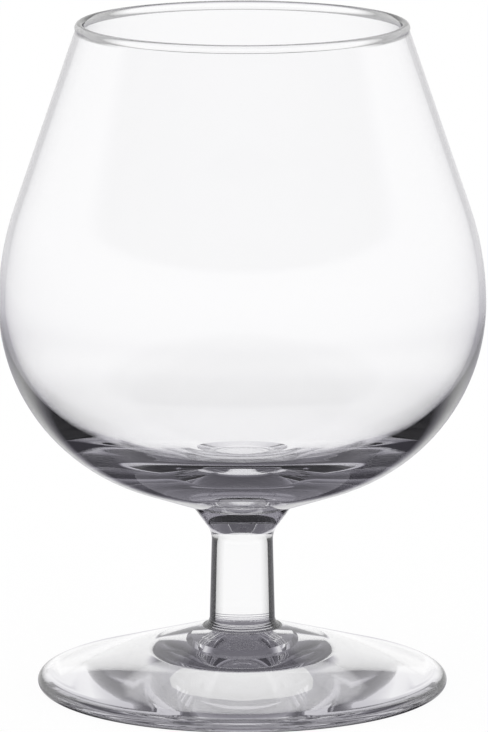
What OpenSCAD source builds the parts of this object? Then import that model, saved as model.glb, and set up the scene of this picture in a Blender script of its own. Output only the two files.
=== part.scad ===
// Brandy snifter: a wide blown bowl that draws in to the mouth, a short pressed stem and a round foot.
// The three pieces are welded end to end, and each is a solid of revolution about the Z axis.
// The glass stands on the plane z = 0.

/* [Bowl] */
// Outside diameter of the bowl at its belly
bowl_d = 80; // [66:0.5:100]
// Outside diameter of the mouth, over the bead of the rim
mouth_d = 54.7; // [40:0.1:62]
// Height of the bowl from its weld to the top of the rim
bowl_h = 80.2; // [66:0.1:100]
// Radius of the curve under the belly
belly_r = 32; // [24:0.5:36]
// Curve above the belly, as a share of the widest curve that still reaches the mouth
shoulder_share = 0.558; // [0.35:0.001:0.9]
// Slope of the bowl's underside around the weld, in degrees from level
base_slope = 19.5; // [14:0.5:26]
// Thickness of the wall from the belly to the rim
bowl_wall = 1.1; // [0.8:0.05:1.8]
// Radius of the curve under the belly inside the bowl
cavity_r = 26.8; // [22:0.1:30]
// Radius of the curve that joins it to the floor inside
knuckle_r = 22.5; // [12:0.1:26]
// Radius of the shallow curve of the floor inside the bowl
floor_r = 76; // [60:1:110]
// Thickness of the glass between the weld and the floor inside the bowl
floor_t = 6.5; // [4:0.1:10]

/* [Rim] */
// Thickness of the round bead that ends the wall
bead_t = 1.6; // [1.2:0.05:2.4]
// How far the bead stands out past the wall
bead_proud = 0.25; // [0.05:0.05:0.4]

/* [Stem] */
// Height of the stem between its two welds
stem_h = 20.4; // [15:0.1:40]
// Diameter of the stem at its waist, under the bowl
waist_d = 10.1; // [8:0.1:12]
// Diameter of the stem at its lower end, above the foot
stem_d = 10.8; // [9:0.1:12.5]
// Diameter of the weld between the bowl and the stem
bowl_weld_d = 16.6; // [14:0.1:20]
// Slope of the flare under the bowl, in degrees from upright
flare_angle = 36; // [20:1:50]
// Radius of the curve between the stem and the flare under the bowl
flare_r = 4.2; // [3:0.1:6]
// Diameter of the weld between the stem and the foot
foot_weld_d = 13.2; // [12.8:0.1:16]

/* [Foot] */
// Diameter of the foot
foot_d = 67.8; // [56:0.1:80]
// Height of the foot at the stem
foot_h = 10.1; // [8:0.1:13]
// Thickness of the foot at its edge
lip_t = 2.1; // [1.6:0.1:3]
// Width of the flat ring that the glass stands on
rest_w = 2.25; // [0.8:0.05:5]
// Radius of the faint curve of the hollow's side, from the ring to its knee
dish_r = 260; // [150:10:900]
// Diameter of the hollow's knee, inside which its roof is nearly level
knee_d = 27.8; // [22:0.1:40]
// Depth of the hollow at the knee
knee_h = 3.45; // [2:0.05:4.5]
// Depth of the hollow around the recess in its middle
hollow_h = 3.6; // [2:0.05:4.8]
// Depth of the recess, up to the bare flat disc that ends it
recess_h = 5.2; // [4:0.05:6.5]
// Diameter of the bare flat disc
disc_d = 15.2; // [10:0.1:18]
// How far the side of the recess leans out from the disc to its mouth
recess_lean = 0.6; // [0.2:0.05:1.5]

/* [Hidden] */

// Facets of each full turn
$fn = 96;

// How far the facets of a rounded outline stand off its true curve
facet_sag = 0.01;

// Radii worked out from the diameters
bowl_r = bowl_d / 2;
mouth_r = mouth_d / 2;
waist_r = waist_d / 2;
stem_r = stem_d / 2;
bowl_weld_r = bowl_weld_d / 2;
foot_weld_r = foot_weld_d / 2;
foot_r = foot_d / 2;
knee_r = knee_d / 2;
disc_r = disc_d / 2;
bead_r = bead_t / 2;
lip_r = lip_t / 2;

// Heights of the two welds, the belly and the rim
stem_z = foot_h;
bowl_z = stem_z + stem_h;
base_run = bowl_r - belly_r + belly_r * sin(base_slope) - bowl_weld_r;
belly_z = bowl_z + base_run * tan(base_slope) + belly_r * cos(base_slope);
rim_z = bowl_z + bowl_h;
floor_z = bowl_z + floor_t;

// Point on a circle, at an angle
function on(centre, radius, angle) = centre + radius * [cos(angle), sin(angle)];

// Direction from one point to another, as an angle
function heading(from, to) = atan2(to[1] - from[1], to[0] - from[0]);

// Points along an arc about a centre, past its start and up to its end
function arc(centre, radius, from, to) =
    let (steps = ceil(abs(to - from) / (2 * acos(1 - facet_sag / radius))))
    [for (i = [1:steps]) on(centre, radius, from + (to - from) * i / steps)];

// Points along a faint curve past one point and up to another, with its centre on the left
function bow(from, to, radius) =
    let (half = (to - from) / 2, left = [-half[1], half[0]] / norm(half))
    let (centre = from + half + left * sqrt(pow(radius, 2) - half * half))
    arc(centre, radius, heading(centre, from), heading(centre, to));

// Centre of a curve that lies inside two others and runs into both, on their outer side
function between(centre_a, radius_a, centre_b, radius_b, radius) =
    let (a = radius_a - radius, b = radius_b - radius, reach = centre_b - centre_a, gap = norm(reach))
    let (along = (pow(a, 2) - pow(b, 2) + pow(gap, 2)) / (2 * gap))
    let (across = sqrt(pow(a, 2) - pow(along, 2)))
    centre_a + (along * reach + across * [reach[1], -reach[0]]) / gap;

// The side of the bowl is straight: it leaves the shoulder's curve and meets the rim's bead
bead_c = [mouth_r - bead_r, rim_z - bead_r];
side_end = bead_c + [bead_r - bead_proud, 0];
side_rise = side_end[1] - belly_z;
side_draw = bowl_r - side_end[0];
shoulder_r = shoulder_share * (pow(side_rise, 2) + pow(side_draw, 2)) / (2 * side_draw);
shoulder_c = [bowl_r - shoulder_r, belly_z];
side_angle = heading(shoulder_c, side_end) - acos(shoulder_r / norm(side_end - shoulder_c));

// Where the wall's two sides run into the bead
side_depth = shoulder_r - (bead_c - shoulder_c) * [cos(side_angle), sin(side_angle)];
bead_start = side_angle + asin(side_depth / bead_r) - 90;
bead_end = side_angle + asin((side_depth - bowl_wall) / bead_r) + 270;

// Outside, the curve under the belly leaves the straight underside
belly_c = [bowl_r - belly_r, belly_z];
base_angle = base_slope - 90;

// Inside, the curve under the belly, the knuckle and the shallow floor run into each other
cavity_c = [bowl_r - bowl_wall - cavity_r, belly_z];
floor_c = [0, floor_z + floor_r];
knuckle_c = between(cavity_c, cavity_r, floor_c, floor_r, knuckle_r);
cavity_end = heading(cavity_c, knuckle_c);
knuckle_end = heading(floor_c, knuckle_c);

// Outline of the bowl: underside, belly, straight side, bead, then down the inside to the axis
bowl_outline = concat(
    [[0, bowl_z], [bowl_weld_r, bowl_z], on(belly_c, belly_r, base_angle)],
    arc(belly_c, belly_r, base_angle, 0),
    arc(shoulder_c, shoulder_r, 0, side_angle),
    [on(bead_c, bead_r, bead_start)],
    arc(bead_c, bead_r, bead_start, bead_end),
    [on(shoulder_c, shoulder_r - bowl_wall, side_angle)],
    arc(shoulder_c, shoulder_r - bowl_wall, side_angle, 0),
    arc(cavity_c, cavity_r, 0, cavity_end),
    arc(knuckle_c, knuckle_r, cavity_end, knuckle_end),
    arc(floor_c, floor_r, knuckle_end, -90)
);

// Outline of the stem: a tapered shaft between a flare under the bowl and a small flare on the foot
flare_end = waist_r + flare_r * (1 - cos(flare_angle));
flare_z = bowl_z - (bowl_weld_r - flare_end) / tan(flare_angle);
waist_z = flare_z - flare_r * sin(flare_angle);
root_r = foot_weld_r - stem_r;
stem_outline = concat(
    [[0, bowl_z], [0, stem_z], [foot_weld_r, stem_z]],
    arc([foot_weld_r, stem_z + root_r], root_r, 270, 180),
    [[waist_r, waist_z]],
    arc([waist_r + flare_r, waist_z], flare_r, 180, 180 - flare_angle),
    [[bowl_weld_r, bowl_z]]
);

// Outline of the foot: recess, hollow with a knee and a faintly curved side, flat ring, round lip and cone
lip_c = [foot_r - lip_r, lip_r];
cone_angle = atan2(foot_h - lip_t, lip_c[0] - foot_weld_r);
knee = [knee_r, knee_h];
rest_start = [lip_c[0] - rest_w, 0];
foot_outline = concat(
    [[0, recess_h], [disc_r, recess_h], [disc_r + recess_lean, hollow_h], knee],
    bow(knee, rest_start, dish_r),
    [[lip_c[0], 0]],
    arc(lip_c, lip_r, -90, 90 - cone_angle),
    [[foot_weld_r, foot_h], [0, foot_h]]
);

module bowl() {
    color([0.93, 0.94, 0.96, 0.35]) rotate_extrude() polygon(bowl_outline);
}

module stem() {
    color([0.88, 0.89, 0.92, 0.35]) rotate_extrude() polygon(stem_outline);
}

module foot() {
    color([0.90, 0.91, 0.94, 0.35]) rotate_extrude() polygon(foot_outline);
}

bowl();
stem();
foot();
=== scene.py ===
import math

import bmesh
import bpy
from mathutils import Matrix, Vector


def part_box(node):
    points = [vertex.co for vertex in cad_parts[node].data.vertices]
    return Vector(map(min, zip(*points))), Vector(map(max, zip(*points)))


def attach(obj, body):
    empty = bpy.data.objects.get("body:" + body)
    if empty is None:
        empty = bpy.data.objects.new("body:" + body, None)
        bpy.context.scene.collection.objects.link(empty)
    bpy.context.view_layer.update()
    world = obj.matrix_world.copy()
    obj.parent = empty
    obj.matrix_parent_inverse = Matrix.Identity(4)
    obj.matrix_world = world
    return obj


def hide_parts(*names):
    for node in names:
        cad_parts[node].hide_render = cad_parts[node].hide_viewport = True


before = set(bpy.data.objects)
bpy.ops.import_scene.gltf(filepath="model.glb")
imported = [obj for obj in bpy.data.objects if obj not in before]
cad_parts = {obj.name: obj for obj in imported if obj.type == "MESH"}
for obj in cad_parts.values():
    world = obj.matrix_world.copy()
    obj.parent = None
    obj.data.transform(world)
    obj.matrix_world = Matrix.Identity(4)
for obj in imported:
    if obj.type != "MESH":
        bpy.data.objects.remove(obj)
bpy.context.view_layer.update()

bl_info = {
    "name": "Brandy Snifter",
    "version": (1, 0, 0),
    "blender": (4, 5, 0),
    "location": "View3D > Sidebar > Snifter",
    "description": "Builds a clear glass brandy snifter around its packed solids",
    "category": "Add Mesh",
}

# Boxes of the three solids, which set the outer sizes of the pieces
BOWL_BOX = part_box("bowl")
STEM_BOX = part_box("stem")
FOOT_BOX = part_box("foot")
MM = 0.001

# The glass is one at its welds, so light passes their two faces: they stay this far apart,
# and are open within this height of a weld
WELD_GAP = 0.002 * MM
WELD_OPENING = 0.006 * MM

# Points of a piece that are closer than this become one, and edges that turn by more than this stay sharp
MERGE = 0.005 * MM
SHARP = math.radians(28)

# Turn of one step of an outline's curves: the wide ones, the bead of the rim, the lip of the foot,
# the rings round the stem's root, the bowl's floor and the hollow of the foot
WIDE_STEP = math.radians(3)
BEAD_STEP = math.radians(10)
LIP_STEP = math.radians(8)
RING_STEP = math.radians(20)
FLOOR_STEP = math.radians(1)
HOLLOW_STEP = math.radians(0.25)


def length(name, description, default):
    """A settable length in metres."""
    return bpy.props.FloatProperty(
        name=name, description=description, default=default, min=0.0, unit="LENGTH", precision=5
    )


def angle(name, description, degrees):
    """A settable angle, given in degrees and kept in radians."""
    return bpy.props.FloatProperty(
        name=name, description=description, default=math.radians(degrees), unit="ROTATION"
    )


def factor(name, description, default, low=0.0, high=1.0):
    """A settable plain number."""
    return bpy.props.FloatProperty(
        name=name, description=description, default=default, min=low, max=high, precision=4
    )


def colour(name, description, default):
    """A settable colour."""
    return bpy.props.FloatVectorProperty(
        name=name, description=description, default=default, size=3, min=0.0, max=1.0, subtype="COLOR"
    )


class BowlSizes(bpy.types.PropertyGroup):
    """Sizes of the bowl that its box doesn't give."""

    mouth_r: length("Mouth radius", "Outside radius of the rim's bead", 27.35 * MM)
    belly_r: length("Belly curve", "Radius of the curve under the belly", 32 * MM)
    shoulder_share: factor("Shoulder share", "Curve above the belly over the widest that fits", 0.558)
    base_slope: angle("Base slope", "Slope of the underside around the weld", 19.5)
    wall: length("Wall", "Thickness of the wall from belly to rim", 1.1 * MM)
    cavity_r: length("Inner belly curve", "Radius of the curve under the belly inside", 26.8 * MM)
    knuckle_r: length("Knuckle curve", "Radius of the curve that joins it to the floor", 22.5 * MM)
    floor_r: length("Floor curve", "Radius of the shallow floor inside", 76 * MM)
    floor_t: length("Floor thickness", "Glass between the weld and the floor inside", 6.5 * MM)
    bead_t: length("Bead thickness", "Thickness of the round bead of the rim", 1.6 * MM)
    bead_proud: length("Bead step", "How far the bead stands out past the wall", 0.25 * MM)


class StemSizes(bpy.types.PropertyGroup):
    """Sizes of the stem that its box doesn't give."""

    waist_r: length("Waist radius", "Radius at the waist, under the bowl", 5.05 * MM)
    low_r: length("Lower radius", "Radius above the foot", 5.4 * MM)
    root_r: length("Root radius", "Radius of the weld to the foot", 6.6 * MM)
    flare_angle: angle("Flare slope", "Slope of the flare under the bowl from upright", 36)
    flare_r: length("Flare curve", "Radius of the curve between stem and flare", 4.2 * MM)
    ring_r: length("Ring curve", "Radius of the fine rings round the root", 0.26 * MM)
    rings: bpy.props.IntProperty(
        name="Rings", description="Fine rings that the weld leaves round the root", default=5, min=1
    )


class FootSizes(bpy.types.PropertyGroup):
    """Sizes of the foot that its box doesn't give."""

    lip_t: length("Lip thickness", "Thickness at the edge", 2.1 * MM)
    rest_w: length("Rest width", "Width of the flat ring it stands on", 2.25 * MM)
    dish_r: length("Dish curve", "Radius of the faint curve of the hollow's side", 260 * MM)
    knee_r: length("Knee radius", "Radius of the circle where the hollow's roof levels out", 13.9 * MM)
    knee_h: length("Knee height", "Height of that circle", 3.45 * MM)
    hollow_h: length("Hollow depth", "Depth of the hollow around the recess", 3.6 * MM)
    recess_h: length("Recess depth", "Depth of the recess up to its disc", 5.2 * MM)
    disc_r: length("Disc radius", "Radius of the bare disc in the recess", 7.6 * MM)
    recess_lean: length("Recess lean", "How far the side of the recess leans out", 0.6 * MM)


class GlassLook(bpy.types.PropertyGroup):
    """Colour and finish of the glass."""

    tint: colour("Tint", "Colour that each passage through a surface leaves", (0.995, 0.995, 0.998))
    ior: factor("Index", "Index of refraction of soda-lime glass", 1.52, 1.0, 2.0)
    shade: colour("Shade", "Colour that light keeps on a long way through the base", (0.32, 0.30, 0.37))


class StudioLook(bpy.types.PropertyGroup):
    """Camera and light of the studio."""

    distance: length("Distance", "Level distance from the glass to the camera", 1.027)
    height: length("Height", "Height of the camera over the table", 0.2528)
    aim: length("Aim", "Height on the glass at the middle of the picture", 0.05374)
    lens: factor("Lens", "Focal length in millimetres for a 36 mm sensor", 312.98, 1.0, 1000.0)
    side_shift: factor("Side shift", "Sideways shift of the frame", 0.0023, -1.0, 1.0)
    cast: colour("Cast", "Colour of the light where it is dark", (0.88, 0.84, 1.0))


class Lathe:
    """Draws half an outline with bmesh operators and turns it about the Z axis."""

    turns = 256

    def __init__(self, r, z):
        self.mesh = bmesh.new()
        self.tip = bmesh.ops.create_vert(self.mesh, co=(r, 0, z))["vert"][0]

    def line(self, r, z, steps=1):
        """Goes straight to a point."""
        stride = (Vector((r, 0, z)) - self.tip.co) / steps
        for _ in range(steps):
            self.tip = bmesh.ops.extrude_vert_indiv(self.mesh, verts=[self.tip])["verts"][0]
            bmesh.ops.translate(self.mesh, verts=[self.tip], vec=stride)

    def arc(self, centre, turn, step=WIDE_STEP):
        """Goes round a centre by an angle, anticlockwise where it is positive."""
        made = bmesh.ops.spin(
            self.mesh,
            geom=[self.tip],
            cent=(centre[0], 0, centre[1]),
            axis=(0, -1, 0),
            angle=turn,
            steps=max(2, math.ceil(abs(turn) / step)),
        )
        self.tip = next(g for g in made["geom_last"] if isinstance(g, bmesh.types.BMVert))

    def bow(self, r, z, radius, step):
        """Goes to a point along a curve whose centre lies to the left."""
        half = (Vector((r, z)) - Vector(self.tip.co.xz)) / 2
        left = Vector((-half.y, half.x)).normalized()
        centre = Vector((r, z)) - half + left * math.sqrt(radius**2 - half.length_squared)
        self.arc(centre, 2 * math.asin(half.length / radius), step)

    def close(self, name):
        """Turns the outline into a closed piece."""
        mesh = self.mesh
        bmesh.ops.spin(
            mesh,
            geom=mesh.verts[:] + mesh.edges[:],
            cent=(0, 0, 0),
            axis=(0, 0, 1),
            angle=math.tau,
            steps=self.turns,
            use_merge=True,
        )
        bmesh.ops.remove_doubles(mesh, verts=mesh.verts, dist=MERGE)
        bmesh.ops.recalc_face_normals(mesh, faces=mesh.faces)
        for face in mesh.faces:
            face.smooth = True
        for edge in mesh.edges:
            edge.smooth = edge.calc_face_angle(0) < SHARP
        return placed(mesh, name)


def placed(mesh, name):
    """Object in the scene, made from a bmesh."""
    data = bpy.data.meshes.new(name)
    mesh.to_mesh(data)
    mesh.free()
    made = bpy.data.objects.new(name, data)
    bpy.context.collection.objects.link(made)
    return made


def heading(start, end):
    """Direction from one point to another, as an angle."""
    return math.atan2(end.y - start.y, end.x - start.x)


def tangent_angle(centre, radius, point):
    """Angle on a circle where a line from an outside point touches it, on its far side."""
    return heading(centre, point) - math.acos(radius / (point - centre).length)


def between(centre_a, radius_a, centre_b, radius_b, radius):
    """Centre of a curve that lies inside two others and runs into both, on their outer side."""
    a, b, reach = radius_a - radius, radius_b - radius, centre_b - centre_a
    along = (a**2 - b**2 + reach.length_squared) / (2 * reach.length)
    across = math.sqrt(a**2 - along**2)
    return centre_a + along * reach.normalized() + across * Vector((reach.y, -reach.x)).normalized()


def turned_bowl(sizes):
    """Bowl: weld face, underside, belly, straight side, bead, then down the inside to the floor."""
    bowl_r = BOWL_BOX[1].x
    weld_z, rim_z = BOWL_BOX[0].z, BOWL_BOX[1].z
    weld_r = STEM_BOX[1].x
    slope = sizes.base_slope
    belly_in = bowl_r - sizes.belly_r
    belly_edge = belly_in + sizes.belly_r * math.sin(slope)
    belly_z = weld_z + (belly_edge - weld_r) * math.tan(slope) + sizes.belly_r * math.cos(slope)
    bead_r = sizes.bead_t / 2
    bead_c = Vector((sizes.mouth_r - bead_r, rim_z - bead_r))
    side_end = bead_c + Vector((bead_r - sizes.bead_proud, 0))
    draw, rise = bowl_r - side_end.x, side_end.y - belly_z
    shoulder_r = sizes.shoulder_share * (rise**2 + draw**2) / (2 * draw)
    shoulder_c = Vector((bowl_r - shoulder_r, belly_z))
    side = tangent_angle(shoulder_c, shoulder_r, side_end)
    side_normal = Vector((math.cos(side), math.sin(side)))
    side_depth = shoulder_r - (bead_c - shoulder_c).dot(side_normal)
    bead_start = side + math.asin(side_depth / bead_r) - math.pi / 2
    bead_end = side + math.asin((side_depth - sizes.wall) / bead_r) + 3 * math.pi / 2
    cavity_c = Vector((bowl_r - sizes.wall - sizes.cavity_r, belly_z))
    floor_c = Vector((0, weld_z + sizes.floor_t + sizes.floor_r))
    knuckle_c = between(cavity_c, sizes.cavity_r, floor_c, sizes.floor_r, sizes.knuckle_r)
    cavity_end, knuckle_end = heading(cavity_c, knuckle_c), heading(floor_c, knuckle_c)
    side_top = bead_c + bead_r * Vector((math.cos(bead_start), math.sin(bead_start)))
    inner_top = shoulder_c + (shoulder_r - sizes.wall) * side_normal
    outline = Lathe(0, weld_z)
    outline.line(weld_r, weld_z, steps=4)
    outline.line(belly_edge, belly_z - sizes.belly_r * math.cos(slope), steps=6)
    outline.arc((belly_in, belly_z), math.pi / 2 - slope)
    outline.arc(shoulder_c, side)
    outline.line(side_top.x, side_top.y, steps=12)
    outline.arc(bead_c, bead_end - bead_start, BEAD_STEP)
    outline.line(inner_top.x, inner_top.y, steps=12)
    outline.arc(shoulder_c, -side)
    outline.arc(cavity_c, cavity_end)
    outline.arc(knuckle_c, knuckle_end - cavity_end)
    outline.arc(floor_c, -math.pi / 2 - knuckle_end, FLOOR_STEP)
    return outline.close("glass_bowl")


def turned_stem(sizes):
    """Stem: weld to the foot, rings round the root, tapered shaft, flare, weld to the bowl."""
    top_r = STEM_BOX[1].x
    top_z, low_z = STEM_BOX[1].z - WELD_GAP, STEM_BOX[0].z + WELD_GAP
    flare_in = sizes.waist_r + sizes.flare_r * (1 - math.cos(sizes.flare_angle))
    flare_z = top_z - (top_r - flare_in) / math.tan(sizes.flare_angle)
    waist_z = flare_z - sizes.flare_r * math.sin(sizes.flare_angle)
    root = sizes.root_r - sizes.low_r
    outline = Lathe(0, low_z)
    outline.line(sizes.root_r, low_z, steps=4)
    for ring in range(sizes.rings):
        turn = (ring + 1) / sizes.rings * math.pi / 2
        r, z = sizes.root_r - root * math.sin(turn), low_z + root - root * math.cos(turn)
        outline.bow(r, z, sizes.ring_r, RING_STEP)
    outline.line(sizes.waist_r, waist_z, steps=10)
    outline.arc((sizes.waist_r + sizes.flare_r, waist_z), -sizes.flare_angle)
    outline.line(top_r, top_z, steps=4)
    outline.line(0, top_z, steps=4)
    return outline.close("glass_stem")


def turned_foot(sizes, root_r):
    """Foot: disc of the recess, hollow, flat ring, round lip, cone, weld to the stem."""
    foot_r, foot_h = FOOT_BOX[1].x, FOOT_BOX[1].z
    lip_r = sizes.lip_t / 2
    lip_in = foot_r - lip_r
    cone = math.atan2(foot_h - sizes.lip_t, lip_in - root_r)
    outline = Lathe(0, sizes.recess_h)
    outline.line(sizes.disc_r, sizes.recess_h, steps=4)
    outline.line(sizes.disc_r + sizes.recess_lean, sizes.hollow_h, steps=3)
    outline.line(sizes.knee_r, sizes.knee_h, steps=6)
    outline.bow(lip_in - sizes.rest_w, 0, sizes.dish_r, HOLLOW_STEP)
    outline.line(lip_in, 0, steps=3)
    outline.arc((lip_in, lip_r), math.pi - cone, LIP_STEP)
    outline.line(root_r, foot_h, steps=12)
    outline.line(0, foot_h, steps=4)
    return outline.close("glass_foot")


def feed(tree, sockets, values):
    """Gives each socket its value, which is a number or another socket."""
    for socket, value in zip(sockets, values):
        if isinstance(value, (int, float)):
            socket.default_value = value
        else:
            tree.links.new(value, socket)


def wired(tree, operation, *values):
    """Result of a Math node on numbers and sockets."""
    node = tree.nodes.new("ShaderNodeMath")
    node.operation = operation
    feed(tree, node.inputs, values)
    return node.outputs[0]


# Places of the sockets of a Mix node: its factor, its two numbers, its two colours and the mixed colour
MIX_FACTOR = 0
MIX_NUMBERS = (2, 3)
MIX_COLOURS = (6, 7)
MIXED_COLOUR = 2


def either(tree, test, yes, no):
    """One value where a test is 1, another where it is 0."""
    mix = tree.nodes.new("ShaderNodeMix")
    feed(tree, [mix.inputs[place] for place in (MIX_FACTOR, *MIX_NUMBERS)], (test, no, yes))
    return mix.outputs[0]


def coloured(tree, level, dark, light):
    """Colour from a dark one at level 0 to a light one at level 1."""
    mix = tree.nodes.new("ShaderNodeMix")
    mix.data_type = "RGBA"
    tree.links.new(level, mix.inputs[MIX_FACTOR])
    for place, shade in zip(MIX_COLOURS, (dark, light)):
        mix.inputs[place].default_value = (*shade, 1)
    return mix.outputs[MIXED_COLOUR]


def ramped(tree, value, levels):
    """Level by a value from 0 to 1, from pairs of value and level."""
    ramp = tree.nodes.new("ShaderNodeValToRGB")
    points = ramp.color_ramp.elements
    while len(points) < len(levels):
        points.new(0.5)
    for point, (place, level) in zip(points, levels):
        point.position = place
        point.color = (level, level, level, 1)
    tree.links.new(value, ramp.inputs["Fac"])
    return ramp.outputs["Color"]


def apart(tree, coordinates):
    """X, Y and Z of a kind of coordinates."""
    place = tree.nodes.new("ShaderNodeSeparateXYZ")
    tree.links.new(tree.nodes.new("ShaderNodeTexCoord").outputs[coordinates], place.inputs[0])
    return place.outputs


def fewer(tree, count, limit):
    """1 where a count is under a whole limit, 0 where it isn't."""
    return wired(tree, "LESS_THAN", count, limit - 0.5)


def shared_group(name, inputs, output):
    """Empty node group for a shared effect, with its input and output nodes."""
    group = bpy.data.node_groups.new(name, "ShaderNodeTree")
    for socket in inputs:
        group.interface.new_socket(socket, in_out="INPUT", socket_type="NodeSocketFloat")
    group.interface.new_socket(output, in_out="OUTPUT", socket_type="NodeSocketFloat")
    return group, group.nodes.new("NodeGroupInput").outputs, group.nodes.new("NodeGroupOutput").inputs


def melt_ripple():
    """Shared effect: the faint unevenness that glass keeps from its melt and mould."""
    group, given, made = shared_group("melt_ripple", ("Size", "Flow"), "Height")
    place = apart(group, "Object")
    drawn = group.nodes.new("ShaderNodeCombineXYZ")
    feed(group, drawn.inputs, (place["X"], place["Y"], wired(group, "MULTIPLY", place["Z"], given["Flow"])))
    noise = group.nodes.new("ShaderNodeTexNoise")
    noise.inputs["Detail"].default_value = 1.0
    group.links.new(drawn.outputs[0], noise.inputs["Vector"])
    group.links.new(wired(group, "DIVIDE", 1.0, given["Size"]), noise.inputs["Scale"])
    group.links.new(noise.outputs["Fac"], made["Height"])
    return group


def open_weld():
    """Shared effect: 0 where two pieces of glass are one, at a weld's height, and 1 elsewhere."""
    group, given, made = shared_group("open_weld", ("Weld",), "Solid")
    off = wired(group, "ABSOLUTE", wired(group, "SUBTRACT", apart(group, "Object")["Z"], given["Weld"]))
    group.links.new(wired(group, "GREATER_THAN", off, WELD_OPENING), made["Solid"])
    return group


SHARED_EFFECTS = {"melt_ripple": melt_ripple, "open_weld": open_weld}

# Levels of the painted shade at the edges, by how far a face turns away from the eye, from 0, square on, to
# 1, edge on
BOWL_SIDE_SHADE = ((0.0, 1.0), (0.55, 1.0), (0.8, 0.9), (1.0, 0.6))
RIM_BEAD_SHADE = ((0.0, 1.0), (0.3, 1.0), (0.45, 0.2), (0.8, 0.35), (1.0, 0.4))
STEM_SIDE_SHADE = ((0.0, 1.0), (0.2, 1.0), (0.38, 0.55), (0.43, 0.4), (0.45, 0.002), (1.0, 0.001))
FOOT_LIP_SHADE = ((0.0, 1.0), (0.3, 1.0), (0.55, 0.1), (0.7, 0.01), (1.0, 0.005))

# How far under the rim the bead's painted shade ends, under the bowl's weld the stem's painted shade
# begins, and over the table the lip's painted shade ends: first where it holds in full, then where it is
# gone
RIM_BEAD_ENDS = (1.4 * MM, 1.6 * MM)
STEM_SIDES_START = (5.2 * MM, 4.3 * MM)
FOOT_LIP_ENDS = (2.0 * MM, 2.3 * MM)

# Level of the painted shade on the bowl's base for light after most turns, and how densely its glass
# absorbs
BASE_PAINTED_LEVEL = 0.0025
BASE_DENSITY = 5.0

# Turns inside the glass, and passages through its faces, that part the kinds of light
SOME_TURNS = 2
MANY_TURNS = 9
MOST_TURNS = 12
FAR_PASSAGES = 4


class ClearGlass:
    """Material of one piece: clear, smooth glass, whose base colour can carry painted shade."""

    def __init__(self, name, look):
        self.material = bpy.data.materials.new(name)
        self.material.use_nodes = True
        self.tree = self.material.node_tree
        self.shader = self.tree.nodes["Principled BSDF"]
        self.shader.inputs["Roughness"].default_value = 0.0
        self.shader.inputs["IOR"].default_value = look.ior
        self.shader.inputs["Transmission Weight"].default_value = 1.0
        self.path = self.tree.nodes.new("ShaderNodeLightPath").outputs
        self.height = apart(self.tree, "Object")["Z"]
        # Level of the painted shade that darkens the base colour, 1 where there is none
        self.level = 1.0

    def effect(self, name):
        """Places a shared effect, which is built the first time."""
        node = self.tree.nodes.new("ShaderNodeGroup")
        node.node_tree = bpy.data.node_groups.get(name) or SHARED_EFFECTS[name]()
        return node

    def ripple(self, size, flow, depth):
        """Gives the faces the faint ripple of melt and mould."""
        uneven = self.effect("melt_ripple")
        uneven.inputs["Size"].default_value = size
        uneven.inputs["Flow"].default_value = flow
        bump = self.tree.nodes.new("ShaderNodeBump")
        bump.inputs["Distance"].default_value = depth
        self.tree.links.new(uneven.outputs["Height"], bump.inputs["Height"])
        self.tree.links.new(bump.outputs["Normal"], self.shader.inputs["Normal"])

    def open_at(self, *welds):
        """Opens the faces at the heights of the welds."""
        solid = 1.0
        for weld_z in welds:
            opening = self.effect("open_weld")
            opening.inputs["Weld"].default_value = weld_z
            solid = wired(self.tree, "MULTIPLY", solid, opening.outputs["Solid"])
        self.tree.links.new(solid, self.shader.inputs["Alpha"])

    def paint_edge_shade(self, levels, full=None, none=None):
        """Paints shade into the base colour where the camera sees a face edge on: all over, or past a
        height, easing over to another.
        """
        facing = self.tree.nodes.new("ShaderNodeLayerWeight")
        facing.inputs["Blend"].default_value = 0.5
        shown = self.path["Is Camera Ray"]
        if full is not None:
            ease = self.tree.nodes.new("ShaderNodeMapRange")
            ease.inputs["From Min"].default_value = none
            ease.inputs["From Max"].default_value = full
            self.tree.links.new(self.height, ease.inputs["Value"])
            shown = wired(self.tree, "MULTIPLY", shown, ease.outputs[0])
        # Painted shade: the base colour darkens by the ramp where the camera sees the face edge on
        edge = either(self.tree, shown, ramped(self.tree, facing.outputs["Facing"], levels), 1.0)
        self.level = wired(self.tree, "MULTIPLY", self.level, edge)

    def paint_turned_shade(self, left):
        """Paints shade into the base colour for light that has turned inside the glass most times, down to
        a level that is left.
        """
        # Painted shade: the base colour darkens after most turns inside the glass
        painted_base = either(self.tree, fewer(self.tree, self.path["Glossy Depth"], MOST_TURNS), 1.0, left)
        self.level = wired(self.tree, "MULTIPLY", self.level, painted_base)

    def absorb(self, shade, density):
        """Takes light away along its way through the glass."""
        absorption = self.tree.nodes.new("ShaderNodeVolumeAbsorption")
        absorption.inputs["Color"].default_value = (*shade, 1)
        absorption.inputs["Density"].default_value = density
        self.tree.links.new(absorption.outputs[0], self.tree.nodes["Material Output"].inputs["Volume"])

    def tinted(self, tint):
        """The finished material, in its tint, darkened by the painted shade in its level."""
        clear = coloured(self.tree, self.level, (0, 0, 0), tint)
        self.tree.links.new(clear, self.shader.inputs["Base Color"])
        return self.material


def bowl_glass(look):
    """Glass of the bowl: painted shade, grey at its sides and dark round its rim; painted shade in its
    thick base after most turns, where its glass also absorbs light.
    """
    rim_z = BOWL_BOX[1].z
    glass = ClearGlass("bowl_glass", look)
    glass.ripple(size=16 * MM, flow=0.4, depth=0.004 * MM)
    glass.open_at(BOWL_BOX[0].z)
    glass.paint_turned_shade(BASE_PAINTED_LEVEL)
    glass.paint_edge_shade(BOWL_SIDE_SHADE)
    glass.paint_edge_shade(RIM_BEAD_SHADE, *(rim_z - under for under in RIM_BEAD_ENDS))
    glass.absorb(look.shade, BASE_DENSITY)
    return glass.tinted(look.tint)


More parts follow.
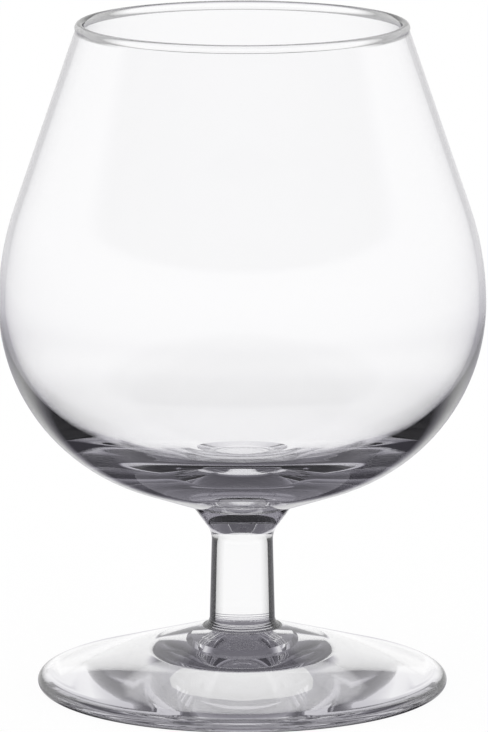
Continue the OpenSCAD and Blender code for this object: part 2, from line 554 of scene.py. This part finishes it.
def stem_glass(look):
    """Glass of the stem: painted shade, dark along the sides of its shaft."""
    weld_z = STEM_BOX[1].z
    glass = ClearGlass("stem_glass", look)
    glass.ripple(size=5 * MM, flow=0.5, depth=0.01 * MM)
    glass.open_at(STEM_BOX[0].z, weld_z)
    glass.paint_edge_shade(STEM_SIDE_SHADE, *(weld_z - under for under in STEM_SIDES_START))
    return glass.tinted(look.tint)


def foot_glass(look):
    """Glass of the foot: painted shade, dark round its lip."""
    glass = ClearGlass("foot_glass", look)
    glass.ripple(size=7 * MM, flow=1.0, depth=0.006 * MM)
    glass.open_at(FOOT_BOX[1].z)
    glass.paint_edge_shade(FOOT_LIP_SHADE, *FOOT_LIP_ENDS)
    return glass.tinted(look.tint)


def finished(piece, node, glass):
    """Gives a piece its glass and puts it in the place of its solid."""
    piece.data.materials.append(glass)
    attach(piece, "root")
    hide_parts(node)


class SNIFTER_OT_bowl(bpy.types.Operator):
    """Turn the glass bowl"""

    bl_idname = "snifter.bowl"
    bl_label = "Bowl"

    def execute(self, context):
        scene = context.scene
        finished(turned_bowl(scene.snifter_bowl), "bowl", bowl_glass(scene.snifter_glass))
        return {"FINISHED"}


class SNIFTER_OT_stem(bpy.types.Operator):
    """Turn the glass stem"""

    bl_idname = "snifter.stem"
    bl_label = "Stem"

    def execute(self, context):
        scene = context.scene
        finished(turned_stem(scene.snifter_stem), "stem", stem_glass(scene.snifter_glass))
        return {"FINISHED"}


class SNIFTER_OT_foot(bpy.types.Operator):
    """Turn the glass foot"""

    bl_idname = "snifter.foot"
    bl_label = "Foot"

    def execute(self, context):
        scene = context.scene
        foot = turned_foot(scene.snifter_foot, scene.snifter_stem.root_r)
        finished(foot, "foot", foot_glass(scene.snifter_glass))
        return {"FINISHED"}


# Levels of the studio's light, in pairs with the elevation in degrees that it comes from

# Light that comes through the glass without a turn, past near walls and past far ones
STRAIGHT = (
    (-90, 1.0), (-55, 1.0), (-51, 0.2), (-46, 0.15), (-42, 0.8), (-37, 0.8), (-35, 0.6), (-30, 0.9),
    (-26, 1.0), (90, 1.0),
)
STRAIGHT_FAR = ((-90, 1.0), (-68, 1.0), (-60, 0.8), (-54, 0.7), (-48, 1.0), (90, 1.0))

# Light that turns once: off the outside, inside near walls, and inside far ones
OUTSIDE = (
    (-90, 0.8), (-56, 0.7), (-48, 0.05), (-32, 0.05), (-24, 0.95), (-20, 1.0), (-14.2, 0.6),
    (-12.2, 0.6), (-7, 1.0), (36, 1.0), (41, 0.45), (90, 0.45),
)
INSIDE = (
    (-90, 0.5), (-20, 0.4), (-10, 0.6), (2, 0.9), (8, 1.0), (17, 1.0), (20, 0.05), (26, 0.1),
    (32, 0.4), (50, 0.1), (90, 0.1),
)
FAR_WALL = ((-90, 0.9), (40, 0.9), (48, 0.15), (90, 0.15))

# Light that turns some times, past near walls and past far ones
SOME = (
    (-90, 0.5), (-46, 0.35), (-26, 0.07), (-15, 0.12), (-10, 0.28), (-8, 0.38), (-6.5, 0.38),
    (-4.5, 0.07), (4, 0.05), (14, 0.1), (26, 0.2), (36, 0.22), (48, 0.4), (90, 0.4),
)
SOME_FAR = ((-90, 0.9), (-20, 0.9), (0, 0.6), (8, 0.4), (16, 0.15), (90, 0.2))

# Light that turns many times, and most times
MANY = (
    (-90, 0.6), (-18, 0.6), (-8, 0.1), (-2, 0.06), (17, 0.07), (24, 0.65), (50, 0.8), (60, 0.12),
    (90, 0.1),
)
MOST = (
    (-90, 0.6), (-30, 0.6), (-8, 0.8), (6, 0.9), (18, 0.9), (24, 0.6), (47, 0.6), (60, 0.12),
    (90, 0.1),
)

# Half the side of the floor, how far it lies under the glass, and the share of its white that takes shadow
FLOOR_REACH = 3.0
FLOOR_DROP = 0.05 * MM
FLOOR_SHADOW = 0.05

# Width of the camera's sensor, the nearest that it sees, and how often light may bounce or pass
SENSOR_MM = 36
NEAREST_SEEN = 10 * MM
LIGHT_BOUNCES = 48


def seen_plainly(tree):
    """1 where the camera or a matt surface looks, 0 where glass does."""
    path = tree.nodes.new("ShaderNodeLightPath").outputs
    return wired(tree, "MAXIMUM", path["Is Camera Ray"], path["Is Diffuse Ray"])


def studio_floor():
    """White floor with the object's faint shadow; light in the glass comes from the world under it."""
    mesh = bmesh.new()
    bmesh.ops.create_grid(mesh, x_segments=1, y_segments=1, size=FLOOR_REACH)
    bmesh.ops.translate(mesh, verts=mesh.verts, vec=(0, 0, -FLOOR_DROP))
    floor = placed(mesh, "studio_floor")
    material = bpy.data.materials.new("studio_floor")
    material.use_nodes = True
    tree = material.node_tree
    tree.nodes.clear()
    white = tree.nodes.new("ShaderNodeEmission")
    lit = tree.nodes.new("ShaderNodeBsdfDiffuse")
    lit.inputs["Color"].default_value = (1, 1, 1, 1)
    paper = tree.nodes.new("ShaderNodeMixShader")
    feed(tree, paper.inputs, (FLOOR_SHADOW, white.outputs[0], lit.outputs[0]))
    clear = tree.nodes.new("ShaderNodeBsdfTransparent")
    shown = tree.nodes.new("ShaderNodeMixShader")
    feed(tree, shown.inputs, (seen_plainly(tree), clear.outputs[0], paper.outputs[0]))
    out = tree.nodes.new("ShaderNodeOutputMaterial")
    tree.links.new(shown.outputs[0], out.inputs["Surface"])
    floor.data.materials.append(material)


def studio_world(look):
    """White for the camera; for glass, the light of the studio, the same all round."""
    world = bpy.data.worlds.new("studio")
    bpy.context.scene.world = world
    world.use_nodes = True
    tree = world.node_tree
    elevation = wired(tree, "ARCSINE", apart(tree, "Generated")["Z"])
    height = wired(tree, "MULTIPLY_ADD", elevation, 1 / math.pi, 0.5)
    path = tree.nodes.new("ShaderNodeLightPath").outputs
    turns, passages = path["Glossy Depth"], path["Transmission Depth"]
    near = fewer(tree, passages, FAR_PASSAGES)

    def light(levels):
        """Brightness by elevation."""
        return ramped(tree, height, [((degrees + 90) / 180, level) for degrees, level in levels])

    inside = either(tree, near, light(INSIDE), light(FAR_WALL))
    once = either(tree, fewer(tree, passages, 1), light(OUTSIDE), inside)
    straight = either(tree, near, light(STRAIGHT), light(STRAIGHT_FAR))
    some = either(tree, near, light(SOME), light(SOME_FAR))
    level = light(MOST)
    for limit, kind in ((MOST_TURNS, light(MANY)), (MANY_TURNS, some), (SOME_TURNS, once), (1, straight)):
        level = either(tree, fewer(tree, turns, limit), kind, level)
    level = either(tree, seen_plainly(tree), 1.0, level)
    background = tree.nodes["Background"]
    tree.links.new(level, background.inputs["Strength"])
    tree.links.new(coloured(tree, level, look.cast, (1, 1, 1)), background.inputs["Color"])


def studio_camera(look):
    """Camera at the photograph's height and distance."""
    data = bpy.data.cameras.new("camera")
    data.lens = look.lens
    data.sensor_width = SENSOR_MM
    data.shift_x = look.side_shift
    data.clip_start = NEAREST_SEEN
    camera = bpy.data.objects.new("camera", data)
    bpy.context.collection.objects.link(camera)
    camera.location = (0, -look.distance, look.height)
    sight = Vector((0, 0, look.aim)) - camera.location
    camera.rotation_mode = "QUATERNION"
    camera.rotation_quaternion = sight.to_track_quat("-Z", "Y")
    bpy.context.scene.camera = camera


class SNIFTER_OT_studio(bpy.types.Operator):
    """Set up the floor, the light and the camera"""

    bl_idname = "snifter.studio"
    bl_label = "Studio"

    def execute(self, context):
        scene = context.scene
        studio_floor()
        studio_world(scene.snifter_studio)
        studio_camera(scene.snifter_studio)
        scene.view_settings.view_transform = "Standard"
        scene.cycles.max_bounces = LIGHT_BOUNCES
        scene.cycles.glossy_bounces = LIGHT_BOUNCES
        scene.cycles.transmission_bounces = LIGHT_BOUNCES
        scene.cycles.transparent_max_bounces = LIGHT_BOUNCES
        return {"FINISHED"}


class SNIFTER_PT_panel(bpy.types.Panel):
    """Lists the steps that build the snifter"""

    bl_idname = "SNIFTER_PT_panel"
    bl_label = "Brandy Snifter"
    bl_space_type = "VIEW_3D"
    bl_region_type = "UI"
    bl_category = "Snifter"

    def draw(self, context):
        for operator in OPERATORS:
            self.layout.operator(operator.bl_idname)


GROUPS = {
    "snifter_bowl": BowlSizes,
    "snifter_stem": StemSizes,
    "snifter_foot": FootSizes,
    "snifter_glass": GlassLook,
    "snifter_studio": StudioLook,
}
OPERATORS = (SNIFTER_OT_bowl, SNIFTER_OT_stem, SNIFTER_OT_foot, SNIFTER_OT_studio)


def register():
    for name, group in GROUPS.items():
        bpy.utils.register_class(group)
        setattr(bpy.types.Scene, name, bpy.props.PointerProperty(type=group))
    for listed in (*OPERATORS, SNIFTER_PT_panel):
        bpy.utils.register_class(listed)


def unregister():
    for listed in (SNIFTER_PT_panel, *reversed(OPERATORS)):
        bpy.utils.unregister_class(listed)
    for name, group in reversed(GROUPS.items()):
        delattr(bpy.types.Scene, name)
        bpy.utils.unregister_class(group)


def main():
    register()
    bpy.ops.snifter.bowl()
    bpy.ops.snifter.stem()
    bpy.ops.snifter.foot()
    bpy.ops.snifter.studio()


if __name__ == "__main__":
    main()
